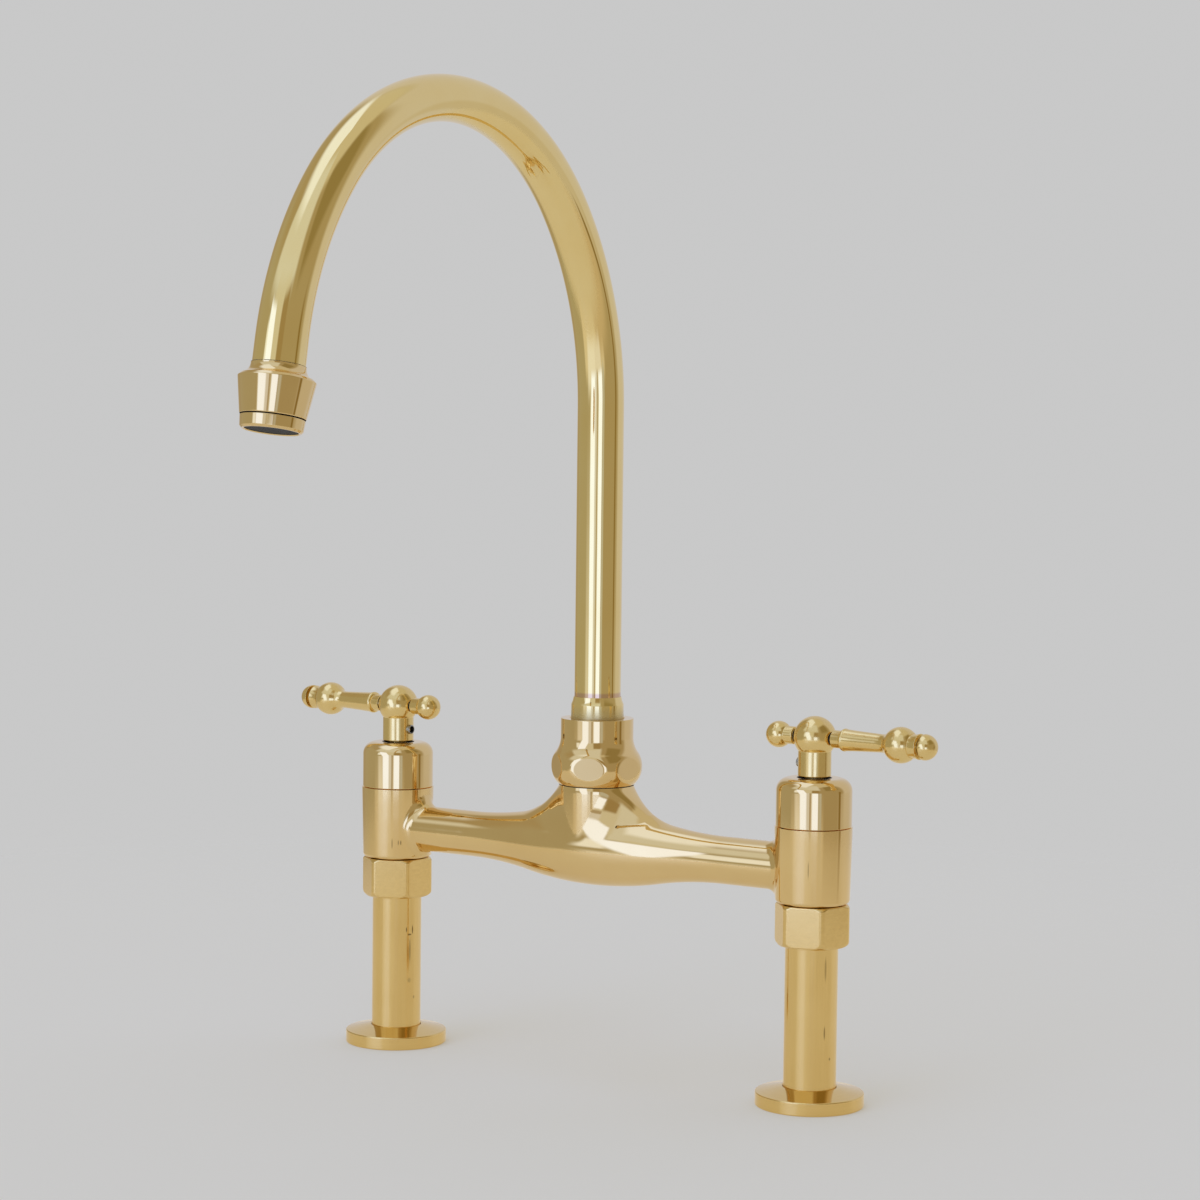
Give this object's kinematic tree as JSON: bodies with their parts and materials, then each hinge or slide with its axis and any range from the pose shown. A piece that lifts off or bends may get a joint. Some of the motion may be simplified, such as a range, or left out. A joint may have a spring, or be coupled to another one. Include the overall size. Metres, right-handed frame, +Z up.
{
  "type": "bridge kitchen faucet",
  "caption": "Deck-mounted bridge kitchen faucet with a swivelling gooseneck spout and turned lever handles on quarter-turn valves.",
  "frame": {"origin": "on the deck, midway between the two inlets, at the level of the flanges' undersides", "axes": "+Z up, +X to the right along the bridge, +Y to the back; the spout reaches towards -Y"},
  "size_m": [0.3136, 0.2423, 0.3971],
  "materials": {
    "polished_brass": "hand-polished, unlacquered",
    "turned_brass": "satin, drawn and turned, unlacquered",
    "machined_brass": "as machined",
    "black_rubber": "moulded nitrile rubber",
    "black_plastic": "moulded acetal",
    "ceramic": "lapped alumina ceramic",
    "dark_steel": "oiled black oxide"
  },
  "bodies": {
    "root": {"bridge_body": "polished_brass", "spout_nut": "polished_brass", "spout_nut_washer": "black_plastic", "lower_slip_ring": "black_plastic", "upper_slip_ring": "black_plastic", "left_leg": "turned_brass", "left_leg_washer": "black_rubber", "left_base_flange": "polished_brass", "left_union_nut": "turned_brass", "left_bonnet": "polished_brass", "left_cartridge_body": "machined_brass", "left_cartridge_seal": "black_rubber", "left_seat_ring": "black_rubber", "left_fixed_disc": "ceramic", "right_leg": "turned_brass", "right_leg_washer": "black_rubber", "right_base_flange": "polished_brass", "right_union_nut": "turned_brass", "right_bonnet": "polished_brass", "right_cartridge_body": "machined_brass", "right_cartridge_seal": "black_rubber", "right_seat_ring": "black_rubber", "right_fixed_disc": "ceramic"},
    "spout": {"spout_tail": "polished_brass", "spout_seals": "black_rubber", "spout_tube": "polished_brass", "outlet_collar": "polished_brass", "aerator_washer": "black_rubber", "aerator_ring": "polished_brass", "aerator_insert": "black_plastic"},
    "left_handle": {"left_moving_disc": "ceramic", "left_spindle": "machined_brass", "left_handle_hub": "polished_brass", "left_grub_screw": "dark_steel", "left_lever_bar": "polished_brass", "left_lever_finial": "polished_brass", "left_stub_knob": "polished_brass"},
    "right_handle": {"right_moving_disc": "ceramic", "right_spindle": "machined_brass", "right_handle_hub": "polished_brass", "right_grub_screw": "dark_steel", "right_lever_bar": "polished_brass", "right_lever_finial": "polished_brass", "right_stub_knob": "polished_brass"}
  },
  "joints": [
    {"name": "spout_swivel", "type": "hinge", "parent": "root", "child": "spout", "pos_m": [0, 0, 0.1], "axis": [0, 0, 1], "continuous": true},
    {"name": "left_lever_turn", "type": "hinge", "parent": "root", "child": "left_handle", "pos_m": [-0.1016, 0, 0.1], "axis": [0, 0, 1], "range_deg": [0, 90]},
    {"name": "right_lever_turn", "type": "hinge", "parent": "root", "child": "right_handle", "pos_m": [0.1016, 0, 0.1], "axis": [0, 0, 1], "range_deg": [-90, 0]}
  ]
}
